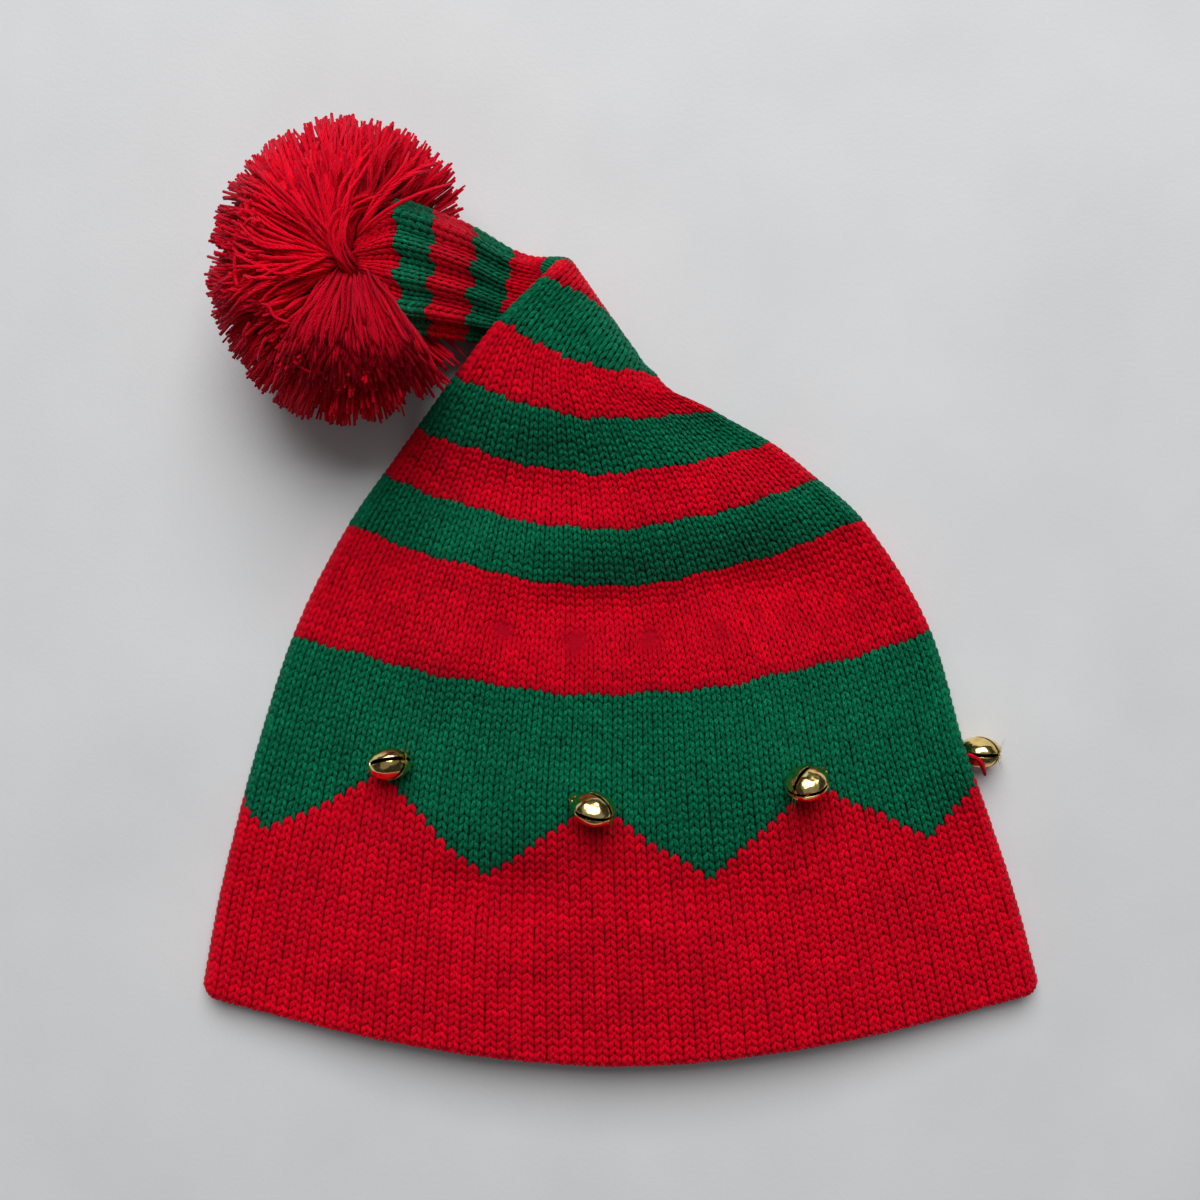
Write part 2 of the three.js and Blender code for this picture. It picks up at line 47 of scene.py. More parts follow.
# knitted tube: the same rows, chords and heights as the CAD bands, in millimetres
tube = {
    "wall": 3.0,
    "rowHeight": 2.1,
    "wales": 140,         # stitches round the brim
    "bowPower": 1.7,      # shape of the sag of a course
    "corner": 5.0,        # rounding where the folds meet the lip of the brim
    "pleats": 10,         # folds round the tail
    "wobble": {"rows": 0.8, "uneven": 0.5, "from": 120, "over": 14},     # bends of the courses on those folds
    "outline": {          # ends of the chord of a row, and the sag of its course
        "row": [0, 12, 23, 33, 47, 62, 70, 78, 86, 94, 102, 110, 118, 126, 134, 142, 150, 157],
        "leftX": [-121.3, -116.5, -111, -105, -95, -79, -69, -59, -47.5, -35, -23, -17,
                  -13.5, -11, -10.5, -8.5, -6, 7.5],
        "leftY": [-2.5, 24, 47, 69, 100, 132, 146.5, 159.5, 173.5, 189, 201, 207.5,
                  214.5, 224, 234, 244, 253.5, 259.5],
        "rightX": [121.3, 114.5, 107, 99.5, 90, 70, 57, 43.5, 27, 11.5, 12.5, 13,
                   13.5, 15.5, 18, 21.5, 24.5, 18.5],
        "rightY": [-1.5, 24, 47, 69, 101, 133.5, 145, 155.5, 164, 172, 184.5, 197,
                   209, 219.5, 227, 235.5, 241, 256.5],
        "bow": [19, 18.5, 17, 15, 17, 19, 16, 12, 8, 4, 1, 0, 0, 0, 0, 0, 0, 0],
    },
    "heights": {          # side folds, their radius, the rise between them, and the tail's lift and pleats
        "row": [0, 23, 47, 70, 78, 86, 94, 101, 118, 126, 134, 142, 150, 157],
        "fold": [4.2, 4.2, 4.2, 4.4, 7.5, 15, 18, 18, 18, 18, 18, 18, 18, 18],
        "edge": [4.2, 4.2, 4.2, 4.2, 4, 4, 4, 4, 4, 5, 7.5, 9, 9, 5],
        "rise": [7.5, 12, 13.5, 12.5, 9.5, 4, 1.5, 0, 0, 0, 0, 0, 0, 0],
        "lift": [0, 0, 0, 0, 0, 0, 0, 0, 0, 3, 13, 26, 37, 41],
        "pleat": [0, 0, 0, 0, 0, 0, 0, 0, 0, 0.8, 1.7, 2, 1.8, 0.6],
    },
    "crease": {"x": -10.7, "y": 183.5, "angle": 125, "radius": 7, "height": 18, "end": -14, "flare": 0.06},
    "dents": [            # x, y, half widths, depth
        (-6, 107, 27, 12, 9), (38, 114, 25, 12, 10), (0, 130, 26, 10, -3.5), (46, 138, 20, 10, -5),
        (18, 150, 26, 12, -3.5), (-26, 142, 30, 14, 7), (-18, 161, 24, 10, -2), (-46, 95, 12, 12, -4.5),
        (-63, 84, 9, 22, 4.5), (-64, 124, 9, 12, 3.5), (8, 77, 4, 16, 2), (40, 62, 24, 16, -5),
        (-28, 52, 26, 16, -5), (-82, 54, 12, 14, 3.5), (-34, 28, 16, 10, 4), (26, 28, 16, 10, 3.5),
    ],
    "shoulder": (31, 162, 15, 13, 6),    # place, half widths and drop of the right shoulder, both layers
    "beside": {"x": 103.4, "y": 66.2, "lift": 9.5, "pull": 2, "spread": 15.5},   # bell under the right fold
}
zigzag = {"pointRow": 33, "repeat": 20, "firstPoint": 13.6}     # in courses and stitches


def tableColumn(table, column, row):
    # a cubic through the column that never overshoots it
    at = np.asarray(table["row"], float)
    value = np.asarray(table[column], float)
    secant = np.diff(value) / np.diff(at)
    both = secant[:-1] * secant[1:]
    total = secant[:-1] + secant[1:]
    inner = np.where(both > 0, 2 * both / np.where(both > 0, total, 1), 0)
    slope = np.concatenate([secant[:1], inner, secant[-1:]])
    index = np.clip(np.searchsorted(at, row, side="right") - 1, 0, len(at) - 2)
    span = at[index + 1] - at[index]
    t = (row - at[index]) / span
    start = slope[index] * span
    end = slope[index + 1] * span
    rise = value[index + 1] - value[index]
    ahead = np.maximum(t, 0)
    cubic = start + ahead * (3 * rise - 2 * start - end + ahead * (start + end - 2 * rise))
    return value[index] + start * np.minimum(t, 0) + ahead * cubic


def hill(x, y, middleX, middleY, halfX, halfY):
    return np.exp(-((x - middleX) / halfX) ** 2 - ((y - middleY) / halfY) ** 2)


def roundCorner(fromFold, row):
    # how far a point near a corner of the brim moves inwards and upwards
    size = tube["corner"]
    toFold = np.clip(1 - fromFold / size, 0, 1)
    toLip = np.clip(1 - (row * tube["rowHeight"] + tube["wall"] / 2) / size, 0, 1)
    inwards = size * toFold * (1 - np.sqrt(1 - toLip ** 2 / 2))
    upwards = size * toLip * (1 - np.sqrt(1 - toFold ** 2 / 2))
    return inwards, upwards


def settled(x, y, z, upperShare):
    # dents in the upper layer, the shoulder, and the fold that rides up on the bell beside it
    beside = tube["beside"]
    near = hill(x, y, beside["x"], beside["y"], beside["spread"], beside["spread"])
    z = z + beside["lift"] * near
    for *dent, depth in tube["dents"]:
        z = z - upperShare * depth * hill(x, y, *dent)
    *shoulder, drop = tube["shoulder"]
    return x - beside["pull"] * near, y, z - drop * hill(x, y, *shoulder)


def rollUnder(x, y, z):
    crease = tube["crease"]
    angle = math.radians(crease["angle"])
    alongX, alongY = math.cos(angle), math.sin(angle)
    along = (x - crease["x"]) * alongX + (y - crease["y"]) * alongY
    over = (x - crease["x"]) * alongY - (y - crease["y"]) * alongX
    start = crease["flare"] * np.maximum(0, crease["end"] - along) ** 2
    ahead = over - start
    turn = np.clip(ahead / crease["radius"], 0, math.pi)
    past = np.maximum(0, ahead - math.pi * crease["radius"])
    axis = crease["height"] - crease["radius"]
    arm = z - axis
    reach = start + arm * np.sin(turn) - past
    rolled = ahead > 0
    return (np.where(rolled, crease["x"] + along * alongX + reach * alongY, x),
            np.where(rolled, crease["y"] + along * alongY - reach * alongX, y),
            np.where(rolled, axis + arm * np.cos(turn), z))


def tubePoint(row, share, depth):
    # place on the tube at a row and a share of the way round: left fold, upper layer, right fold, lower layer
    row, share, depth = (np.asarray(a, float) for a in np.broadcast_arrays(row, share, depth))
    section = {name: tableColumn(tube[part], name, row)
               for part in ("outline", "heights") for name in tube[part] if name != "row"}
    leftX, leftY, rightX, rightY = (section[name] for name in ("leftX", "leftY", "rightX", "rightY"))
    half = np.hypot(rightX - leftX, rightY - leftY) / 2
    edge = section["edge"]
    flat = half - edge
    quarter = math.pi / 2 * edge
    length = (share % 1) * (4 * flat + 4 * quarter)
    leftUp = length < quarter
    upper = ~leftUp & (length < quarter + 2 * flat)
    right = ~leftUp & ~upper & (length < 3 * quarter + 2 * flat)
    lower = ~leftUp & ~upper & ~right & (length < 3 * quarter + 4 * flat)
    leftAngle = math.pi - length / edge
    rightAngle = math.pi / 2 - (length - quarter - 2 * flat) / edge
    underAngle = -math.pi / 2 - (length - 3 * quarter - 4 * flat) / edge
    angle = np.select([leftUp, upper, right, lower],
                      [leftAngle, math.pi / 2, rightAngle, -math.pi / 2], underAngle)
    onFold = np.where(right, flat, -flat) + edge * np.cos(angle)
    along = np.select([upper, lower], [length - quarter - flat, 3 * quarter + 3 * flat - length], onFold)
    inwards, upwards = roundCorner(half - np.abs(along), row)
    arch = (1 - np.minimum(1, np.abs(along / flat)) ** 3) ** 2
    up = np.where(upper, edge + section["rise"] * arch, edge * np.sin(angle))
    out = section["pleat"] * np.cos(2 * math.pi * tube["pleats"] * share) - depth
    sag = upwards - section["bow"] * (1 - np.abs(along / half) ** tube["bowPower"])
    along = along + np.cos(angle) * out - np.sign(along) * inwards
    chordX = (rightX - leftX) / (2 * half)
    chordY = (rightY - leftY) / (2 * half)
    x = (leftX + rightX) / 2 + chordX * along - chordY * sag
    y = (leftY + rightY) / 2 + chordY * along + chordX * sag
    z = section["fold"] + up + np.sin(angle) * out
    x, y, z = rollUnder(*settled(x, y, z, (1 + np.sin(angle)) / 2))
    return np.stack([x, y, z + section["lift"]], axis=-1)


def coursePoint(course, share, proud):
    # as tubePoint, but courses below the first go round the lip of the brim and up the inside
    lip = tube["wall"] / 2
    turn = np.clip(-course * tube["rowHeight"] / lip, 0, math.pi)
    inside = np.maximum(0, -course - math.pi * lip / tube["rowHeight"])
    wobble = tube["wobble"]
    uneven = 1 + wobble["uneven"] * np.sin(6 * math.pi * share + 1)
    folds = np.cos(2 * math.pi * tube["pleats"] * share) * uneven
    bend = wobble["rows"] * np.clip((course - wobble["from"]) / wobble["over"], 0, 1) * folds
    row = np.where(course >= 0, course + bend, inside - (lip + proud) / tube["rowHeight"] * np.sin(turn))
    depth = np.where(course >= 0, -proud, lip - (lip + proud) * np.cos(turn))
    return tubePoint(row, share, depth)


def zigzagRow(share):
    wale = share * tube["wales"] - zigzag["firstPoint"]
    half = zigzag["repeat"] / 2
    return zigzag["pointRow"] - np.abs((wale + half) % zigzag["repeat"] - half)


# finishes
def newFinish(name):
    # material, its shader, a function that adds a node with its settings, and one that links two sockets
    material = bpy.data.materials.new(name)
    material.use_nodes = True
    tree = material.node_tree

    def add(kind, **settings):
        node = tree.nodes.new(kind)
        for setting, value in settings.items():
            if setting in node.inputs:
                node.inputs[setting].default_value = value
            else:
                setattr(node, setting, value)
        return node
    return material, tree.nodes["Principled BSDF"], add, tree.links.new


def noise(add, link, scale, detail, roughness=0.5):
    place = add("ShaderNodeTexCoord")
    node = add("ShaderNodeTexNoise", Scale=scale, Detail=detail, Roughness=roughness)
    link(place.outputs["Object"], node.inputs["Vector"])
    return node.outputs["Fac"]


def twoTone(add, link, source, ends, low, high):
    ramp = add("ShaderNodeValToRGB")
    for element, position, colour in zip(ramp.color_ramp.elements, ends, (low, high)):
        element.position = position
        element.color = (*colour, 1)
    link(source, ramp.inputs["Fac"])
    return ramp.outputs["Color"]


def scaled(add, link, colour, strength):
    shade = add("ShaderNodeVectorMath", operation="SCALE")
    link(colour, shade.inputs[0])
    link(strength, shade.inputs["Scale"])
    return shade.outputs["Vector"]


def bumped(add, link, shader, source, strength, depth):
    bump = add("ShaderNodeBump", Strength=strength, Distance=depth)
    link(source, bump.inputs["Height"])
    link(bump.outputs["Normal"], shader.inputs["Normal"])


def yarnFinish(name, look):
    material, shader, add, link = newFinish(name)
    fleck = noise(add, link, *look["fleck"])
    colour = twoTone(add, link, fleck, look["fleckEnds"], look["dark"], look["light"])
    patch = add("ShaderNodeMapRange", **look["cloudRange"])
    link(noise(add, link, *look["cloud"]), patch.inputs["Value"])
    # colour times the tone attribute, which holds random tones and painted shade
    tone = add("ShaderNodeAttribute", attribute_name="tone")
    strength = add("ShaderNodeMath", operation="MULTIPLY")
    link(patch.outputs["Result"], strength.inputs[0])
    link(tone.outputs["Fac"], strength.inputs[1])
    link(scaled(add, link, colour, strength.outputs["Value"]), shader.inputs["Base Color"])
    yarn = add("ShaderNodeUVMap", uv_map="yarn")
    twist = add("ShaderNodeMapping", Rotation=(0, 0, look["twist"]), Scale=look["plies"])
    link(yarn.outputs["UV"], twist.inputs["Vector"])
    ply = add("ShaderNodeTexWave", bands_direction="X", Scale=1.0, Distortion=1.2, Detail=1.0)
    link(twist.outputs["Vector"], ply.inputs["Vector"])
    height = add("ShaderNodeMath", operation="MULTIPLY_ADD")
    link(ply.outputs["Fac"], height.inputs[0])
    height.inputs[1].default_value = look["plyHeight"]
    link(noise(add, link, *look["fibre"]), height.inputs[2])
    bumped(add, link, shader, height.outputs["Value"], look["bump"], look["bumpDepth"])
    sockets = {
        "Roughness": look["roughness"], "Specular IOR Level": look["specular"], "Sheen Weight": look["sheen"],
        "Sheen Roughness": look["sheenRoughness"], "Specular Tint": (*look["shine"], 1),
        "Sheen Tint": (*look["shine"], 1),
    }
    for socket, value in sockets.items():
        shader.inputs[socket].default_value = value
    return material


redLook = {
    "dark": (0.7, 0.0006, 0.01), "light": (0.96, 0.0012, 0.02), "shine": (1.0, 0.12, 0.3),
    "roughness": 0.52, "specular": 0.35, "sheen": 0.06, "sheenRoughness": 0.4,
    "hollow": 0.0, "shadeBacking": 0.5,       # painted shade on a stitch's sides and tucked ends, and tone of the wall behind, painted dark as shade between the stitches
    "fleck": (1500.0, 3.0, 0.6), "cloud": (60.0, 2.0),     # scale, detail and roughness of the noise
    "fibre": (3600.0, 4.0, 0.7),
    "fleckEnds": (0.36, 0.66),
    "cloudRange": {"From Min": 0.3, "From Max": 0.7, "To Min": 0.9, "To Max": 1.08},
    "bump": 0.8, "bumpDepth": 0.0004,
    "twist": 0.6, "plies": (3.0, 2.0, 1.0), "plyHeight": 0.7,
}
greenLook = dict(redLook, dark=(0.0006, 0.085, 0.036), light=(0.002, 0.27, 0.115), shine=(0.2, 1.0, 0.75),
                 specular=0.22, hollow=0.6, shadeBacking=0.25)
pileLook = dict(redLook, dark=(0.97, 0.0008, 0.012), light=(1.0, 0.0015, 0.022), plies=(2.0, 14.0, 1.0),
                twist=0.35, sheen=0.22, specular=0.2)
redYarn = yarnFinish("red_yarn", redLook)
greenYarn = yarnFinish("green_yarn", greenLook)
redPile = yarnFinish("red_pile", pileLook)
print("yarn finishes made")


# meshes joined from many copies of a small template
def cutAcross(bm, place, way):
    everything = bm.verts[:] + bm.edges[:] + bm.faces[:]
    bmesh.ops.bisect_plane(bm, geom=everything, plane_co=place, plane_no=way, dist=1e-4)


def templateOf(bm):
    uvLayer = bm.loops.layers.uv.verify()
    bm.verts.index_update()
    corners = [loop for face in bm.faces for loop in face.loops]
    made = {
        "co": np.array([v.co[:] for v in bm.verts]),
        "loops": np.array([loop.vert.index for loop in corners]),
        "uv": np.array([loop[uvLayer].uv[:] for loop in corners]),
        "sizes": np.array([len(face.verts) for face in bm.faces]),
    }
    bm.free()
    return made


def copies(template, points, tone, uvShift=None):
    # points: copy x template vertex x 3, in millimetres, tone: copy x template vertex
    count, verts = points.shape[:2]
    loops = template["loops"][None, :] + (np.arange(count) * verts)[:, None]
    uv = np.broadcast_to(template["uv"], (count, *template["uv"].shape))
    if uvShift is not None:
        uv = uv + uvShift[:, None, :]
    return {"co": points.reshape(-1, 3), "loops": loops.ravel(), "uv": uv.reshape(-1, 2),
            "sizes": np.tile(template["sizes"], count), "tone": tone.ravel()}


def joined(name, parts, material, nodes=()):
    before = np.cumsum([0] + [len(p["co"]) for p in parts])
    co = np.concatenate([p["co"] for p in parts]) * mm
    loops = np.concatenate([p["loops"] + start for p, start in zip(parts, before)])
    sizes = np.concatenate([p["sizes"] for p in parts])
    mesh = bpy.data.meshes.new(name)
    mesh.vertices.add(len(co))
    mesh.vertices.foreach_set("co", co.astype(np.float32).ravel())
    mesh.loops.add(len(loops))
    mesh.loops.foreach_set("vertex_index", loops.astype(np.int32))
    mesh.polygons.add(len(sizes))
    mesh.polygons.foreach_set("loop_start", np.concatenate([[0], np.cumsum(sizes)[:-1]]).astype(np.int32))
    mesh.update(calc_edges=True)
    layer = mesh.uv_layers.new(name="yarn")
    layer.uv.foreach_set("vector", np.concatenate([p["uv"] for p in parts]).astype(np.float32).ravel())
    # tone: per-vertex brightness, random tones together with painted shade
    tone = mesh.attributes.new("tone", "FLOAT", "POINT")
    tone.data.foreach_set("value", np.concatenate([p["tone"] for p in parts]).astype(np.float32))
    print(name, "triangles:", int((sizes - 2).sum()))
    return placed(name, mesh, material, nodes)


def placed(name, mesh, material, nodes=()):
    mesh.shade_smooth()
    mesh.materials.append(material)
    piece = bpy.data.objects.new(name, mesh)
    scene.collection.objects.link(piece)
    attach(piece, "root")
    if nodes:
        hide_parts(*nodes)
    return piece


# stitches
stitch = {
    "fine": (5, 4), "plain": (4, 3),       # sides and rings of one leg
    "fineRow": 102, "fineShares": (0.98, 0.52),    # legs are fine past this row, and on the upper layer
    "fullness": 3.2,                       # blunt ends
    "apart": 0.25, "lean": 0.115,          # of a stitch width: middle of a leg, and how far its ends lean
    "wide": 0.272, "long": 0.83,           # half width and half length of a leg, in stitches and courses
    "thick": 0.86, "sink": 0.9,            # half thickness and depth of the middle, in millimetres
    "tuckTop": 0.8, "tuckFoot": 0.3,       # depth that the ends go down
    "jitter": 0.05, "aside": 0.4, "proud": 0.06,   # unevenness of single stitches
    "wander": 0.16, "wanderFrom": 6,       # unevenness of the courses, which starts above the brim
    "waves": [(9, 0.11, 0), (23, -0.17, 1)],       # its turns round the hat, drift for each row, and phase
    "toneSpread": 0.1, "legSpread": 0.04, "edgeTone": 0.8,    # the first course of a colour is darker
}
dimple = {
    "row": 54, "around": 17,               # decreases in one round
    "share": 0.2226, "wales": 130,         # place of one of them, and stitches round
    "middle": 0.245, "reach": 0.12,        # shares of the way round where they show
    "depth": 1.6, "uneven": (1.2, 0.2, 90), "rows": 1.5, "stitches": 1.3, "shade": 0.2,
}
shadeBacking = {
    "outer": 1.75, "inner": 2.9, "weld": 0.005,    # depths of the wall behind the stitches
    "wideBands": 5, "wide": 112, "narrow": 60,     # facets round the first bands and the others
    "tallBands": 3, "tall": 6, "low": 4,           # and along them
}
zones = [          # from row, to row, courses, stitches round
    (0, 54, 54, 140), (54, 62, 8, 122), (62, 70, 8, 104), (70, 78, 8, 86), (78, 86, 8, 68), (86, 94, 8, 50),
    (94, 102, 7, 36), (102, 110, 5, 30), (110, 118, 5, 30), (118, 126, 5, 30), (126, 134, 5, 30),
    (134, 142, 5, 30), (142, 150, 5, 30), (150, 157, 6, 30),
]
bands = [          # node, yarn, first and last row
    ("brim_band", "red", 0, "zigzag"), ("zigzag_band", "green", "zigzag", 47),
    ("stripe_red_1", "red", 47, 62), ("stripe_green_1", "green", 62, 70),
    ("stripe_red_2", "red", 70, 78), ("stripe_green_2", "green", 78, 86),
    ("stripe_red_3", "red", 86, 94), ("stripe_green_3", "green", 94, 102), ("tip_red", "red", 102, 110),
    ("tip_green", "green", 110, 118), ("tip_red_end", "red", 118, 126), ("tail_green_1", "green", 126, 134),
    ("tail_red_1", "red", 134, 142), ("tail_green_2", "green", 142, 150), ("tail_red_end", "red", 150, 157),
]
zigzagEnd = bands[1][3]
yarns = {"red": (redYarn, "red_yarn", redLook), "green": (greenYarn, "green_yarn", greenLook)}


def legTemplate(around, along):
    bm = bmesh.new()
    bm.loops.layers.uv.new("yarn")
    bmesh.ops.create_uvsphere(bm, u_segments=around, v_segments=along, radius=1, calc_uvs=True)
    bmesh.ops.rotate(bm, verts=bm.verts, cent=(0, 0, 0), matrix=Matrix.Rotation(-math.pi / 2, 3, "X"))
    for vert in bm.verts:                  # poles along y, with blunt ends
        ring = math.hypot(vert.co.x, vert.co.z)
        if ring > 1e-4:
            full = math.sqrt(1 - abs(vert.co.y) ** stitch["fullness"]) / ring
            vert.co.x *= full
            vert.co.z *= full
    return templateOf(bm)


legs = {"fine": legTemplate(*stitch["fine"]), "plain": legTemplate(*stitch["plain"])}


def plainBand(row):
    return next(index for index, band in enumerate(bands) if index > 1 and row < band[3])


def stitchTable():
    # one line for each stitch: row, share of the way round, rows to a course, stitches round, band
    lines = []
    for start, end, courses, wales in zones:
        pitch = (end - start) / courses
        share = (np.arange(wales) + 0.5) / wales
        for row in start + (np.arange(courses) + 0.5) * pitch:
            if row < zigzagEnd:
                band = np.where(row > np.round(zigzagRow(share)), 1, 0)
            else:
                band = np.full(wales, plainBand(row))
            line = [np.full(wales, row), share, np.full(wales, pitch), np.full(wales, wales), band]
            lines.append(np.stack(line, axis=1))
    return np.concatenate(lines)


def dimpleAt(row, share):
    apart = ((share - dimple["share"]) * dimple["around"] + 0.5) % 1 - 0.5
    stitches = apart / dimple["around"] * dimple["wales"]
    mean, spread, turns = dimple["uneven"]
    shown = np.exp(-((share - dimple["middle"]) / dimple["reach"]) ** 4)
    depth = dimple["depth"] * shown * (mean + spread * np.sin(share * turns))
    rows = row - dimple["row"]
    return depth * np.exp(-(rows / dimple["rows"]) ** 2 - (stitches / dimple["stitches"]) ** 2)


def legsOf(template, row, share, pitch, wales, look, edge):
    # two legs for each stitch
    count = len(row)
    uneven = stitch["jitter"] * chance.standard_normal((count, 4))
    row = row + uneven[:, 0] * pitch
    share = share + stitch["aside"] * uneven[:, 1] / wales
    edgeTone = np.where(edge, stitch["edgeTone"], 1)
    tone = (1 + stitch["toneSpread"] * (chance.random(count) - 0.5) * 2) * edgeTone
    x, y, z = template["co"].T
    # painted shade: a leg is darker on its low sides and towards its tucked ends
    low = np.interp(z, [-0.3, 0.8], [1, 0])
    hollow = 1 - look["hollow"] * low * np.interp(np.abs(y), [0, 1], [0.8, 1])
    points, tones = [], []
    for side in (-1, 1):
        tilt = 1 + 2 * chance.standard_normal(count)[:, None] * stitch["jitter"]
        swell = 1 + chance.standard_normal(count)[:, None] * stitch["jitter"]
        across = side * (stitch["apart"] - stitch["lean"] * y * tilt) + x * stitch["wide"] * swell
        tuck = np.where(y > 0, stitch["tuckTop"], stitch["tuckFoot"]) * y ** 2
        proud = z * stitch["thick"] * swell - stitch["sink"] - tuck + stitch["proud"] * uneven[:, 2:3]
        legRow = row[:, None] + y * stitch["long"] * pitch[:, None]
        legShare = share[:, None] + across / wales[:, None]
        wave = sum(np.sin(legShare * 2 * math.pi * turns + legRow * drift + phase)
                   for turns, drift, phase in stitch["waves"])
        course = legRow + stitch["wander"] * wave * np.clip(legRow / stitch["wanderFrom"], 0, 1)
        pressed = dimpleAt(legRow, legShare)
        points.append(coursePoint(course, legShare, proud - pressed))
        # legs pressed into a dimple are painted darker, painted shade in the hollow
        legTone = tone * (1 + stitch["legSpread"] * chance.standard_normal(count))
        tones.append(legTone[:, None] * hollow[None, :] * (1 - dimple["shade"] * pressed))
    shift = np.stack([chance.random(2 * count), np.zeros(2 * count)], axis=1)
    return copies(template, np.concatenate(points), np.concatenate(tones), shift)


def shellOf(start, end, around, rings, tone):
    # closed wall behind the stitches, painted dark as shade between them, from a grid that is bent round both
    # ways and welded
    lines = 2 * rings + 2
    bm = bmesh.new()
    bm.loops.layers.uv.new("yarn")
    bmesh.ops.create_grid(bm, x_segments=around, y_segments=lines, size=1)
    co = np.array([v.co[:] for v in bm.verts])
    share = (co[:, 0] + 1) / 2
    line = np.round((co[:, 1] + 1) / 2 * lines).astype(int) % lines
    onOuter = line <= rings
    part = np.where(onOuter, line / rings, (lines - 1 - line) / rings)
    first = zigzagRow(share) if start == "zigzag" else start
    last = zigzagRow(share) if end == "zigzag" else end
    depth = np.where(onOuter, shadeBacking["outer"], shadeBacking["inner"])
    for vert, point in zip(bm.verts, coursePoint(first + (last - first) * part, share, -depth)):
        vert.co = point
    bmesh.ops.remove_doubles(bm, verts=bm.verts, dist=shadeBacking["weld"])
    bmesh.ops.recalc_face_normals(bm, faces=bm.faces)
    wall = templateOf(bm)
    wall["tone"] = np.full(len(wall["co"]), tone)
    return wall


table = stitchTable()
fineFrom, fineTo = stitch["fineShares"]
for index, (node, yarn, start, end) in enumerate(bands):
    row, share, pitch, wales = table[table[:, 4] == index].T[:4]
    fine = (row > stitch["fineRow"]) | (share < fineTo) | (share > fineFrom)
    first = np.round(zigzagRow(share)) if start == "zigzag" else start
    edge = (row - first < pitch) & (index > 0)
    material, slotName, look = yarns[yarn]
    around = shadeBacking["wide"] if index < shadeBacking["wideBands"] else shadeBacking["narrow"]
    rings = shadeBacking["tall"] if index < shadeBacking["tallBands"] else shadeBacking["low"]
    parts = [shellOf(start, end, around, rings, look["shadeBacking"])]
    for template, chosen in (("fine", fine), ("plain", ~fine)):
        if chosen.any():
            columns = [column[chosen] for column in (row, share, pitch, wales)]
            parts.append(legsOf(legs[template], *columns, look, edge[chosen]))
    joined(node + "_knit", parts, material, [node])
print("knit bands made:", len(bands), "from", len(table), "stitches")

hem = {"courses": 11, "fine": 3, "pitch": 1.08}     # courses turned round the lip and up inside the brim


def makeHem():
    wales = tube["wales"]
    courses = -(np.arange(hem["courses"]) + 0.5) * hem["pitch"]
    row = np.repeat(courses, wales)
    share = np.tile((np.arange(wales) + 0.5) / wales, hem["courses"])
    fine = row > -hem["fine"] * hem["pitch"]
    parts = []
    for template, chosen in (("fine", fine), ("plain", ~fine)):
        ones = np.ones(chosen.sum())
        columns = [row[chosen], share[chosen], ones * hem["pitch"], ones * wales]
        parts.append(legsOf(legs[template], *columns, redLook, ones < 0))
    joined("brim_hem", parts, redYarn)


makeHem()
print("hem made")


# pompom
pile = {
    "middle": (-74.0, 199.5, 30.0), "radii": (35.0, 38.0, 31.0), "tie": (-71.9, 198.9, 46.0),
    "thick": 0.5, "floor": 0.6,            # half thickness of a strand, and its lowest place
    "thickSpread": 0.12, "taper": ([0, 0.1, 0.85, 1], [0.8, 1, 1, 0.8]),
    "short": (4, 3), "long": (4, 7),       # sides and lengths of the two strand shapes
    "shortCrimp": 0.5, "longCrimp": 1.1, "crimpTurns": 8, "rootShade": 0.95,
    "locks": 130, "gather": 0.34,          # locks, and how far strands are drawn to the middle of one
    "lockStray": 0.06, "endStray": 0.045, "lengthSpread": 0.06, "longest": 1.1, "toneSpread": 0.06,
    # a lump painted dark as shade between the strands, which also stops the light there, and the strands of
    # the round pile
    "heart": {"size": 0.62, "lump": 0.03, "turns": (9, 8, 7), "shift": (-3, -0.5, -5), "tone": 0.4},
    "ball": {"count": 4300, "low": -0.97, "high": 0.8, "from": 0.35, "bends": (0.3, 0.35), "stray": 1.6},
    "fans": [                              # strands combed from the tie over the pile, by degrees round it
        {"count": 1150, "from": 72, "to": 205, "low": -0.1, "high": 0.72, "rise": 8.5,
         "root": (-1.5, 0.6, -1)},
        {"count": 420, "from": 195, "to": 252, "low": -0.3, "high": 0.3, "rise": 3, "root": (-1, -2.5, -4)},
        {"count": 420, "from": 12, "to": 80, "low": -0.1, "high": 0.6, "rise": 7, "root": (0.5, 4, -3)},
    ],
    "comb": {                              # bends of those strands, with more for high ends and by lock
        "rootOut": 1.5, "rootStray": 0.9, "stray": 1.4,
        "near": {"along": 0.25, "high": 4, "lift": 1.6, "aside": 1.5},
        "far": {"along": 0.3, "up": 7, "high": -6, "lift": 1.5, "aside": 2.2},
    },
    "skirt": {                             # strands that hang over the pile below the tie, their tone painted darker as shade
        "count": 520, "from": 240, "to": 304, "long": 26, "wide": 9.5, "tone": 0.74,
        "root": (1.0, -3.0, 0.5), "rootStray": 0.8, "stray": 0.9, "waves": (40, 67),
        "lockSpread": 0.06, "longSpread": 0.1, "toneSpread": 0.09,
        "dome": 0.97, "least": 0.02, "over": 1.5, "layers": 3,
        "near": {"along": 0.25, "up": 4, "layer": 4},
        "far": {"along": 0.32, "up": 1.5, "layer": 2.5, "lock": 1.2},
    },
    "collar": {                            # bundle that goes round the end of the tail
        "path": [(-71, 196.5, 48), (-77.5, 202, 56), (-75, 214, 56), (-63.5, 216.5, 44)],
        "count": 60, "stray": 1.0, "spread": 0.3, "toneSpread": 0.07,
    },
    "loose": {"count": 9, "from": 150, "to": 285, "low": 0.6, "high": 0.85, "out": 1.02, "lift": 0.8,
              "steps": (3, 6, 9)},
}
